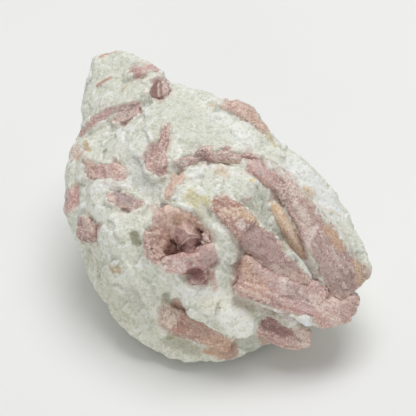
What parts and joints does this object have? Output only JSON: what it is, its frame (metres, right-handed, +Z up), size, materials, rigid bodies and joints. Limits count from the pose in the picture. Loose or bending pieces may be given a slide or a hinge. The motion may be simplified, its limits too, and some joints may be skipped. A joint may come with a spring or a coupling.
{
  "type": "rubellite specimen",
  "caption": "Hand specimen of white albite rock with striated pink tourmaline crystals, a crystal-lined pit and a flat broken base to rest on.",
  "frame": {"origin": "middle of the footprint, on the surface that the specimen rests on", "axes": "+Z up, -Y the display side, +X to the display side's right"},
  "size_m": [0.065, 0.0626, 0.0415],
  "materials": {
    "albite": "matt, sugary white with a faint green-grey tint and glassy quartz patches",
    "pink_tourmaline": "silky, dusty pink, striated along the crystals, with white grains",
    "dark_tourmaline": "satin, brownish mauve, speckled",
    "peach_tourmaline": "satin, peach to tan"
  },
  "bodies": {
    "root": {"matrix": "albite", "ridge_crystal": "dark_tourmaline", "blade_crystal": "dark_tourmaline", "fan_crystal": "pink_tourmaline", "knob_crystal": "pink_tourmaline", "base_crystal": "peach_tourmaline", "groove_crystal": "dark_tourmaline", "needle_crystal": "peach_tourmaline", "pocket_crust": "dark_tourmaline", "pocket_crystals": "pink_tourmaline", "seam_crystal": "dark_tourmaline", "eye_crystal": "dark_tourmaline", "crown_crystal": "pink_tourmaline", "drop_crystal": "pink_tourmaline", "back_crystal": "peach_tourmaline", "cheek_crystal": "pink_tourmaline", "oval_crystal": "pink_tourmaline", "left_crystal": "pink_tourmaline", "block_crystal": "dark_tourmaline", "peach_crystal": "peach_tourmaline"}
  },
  "joints": []
}
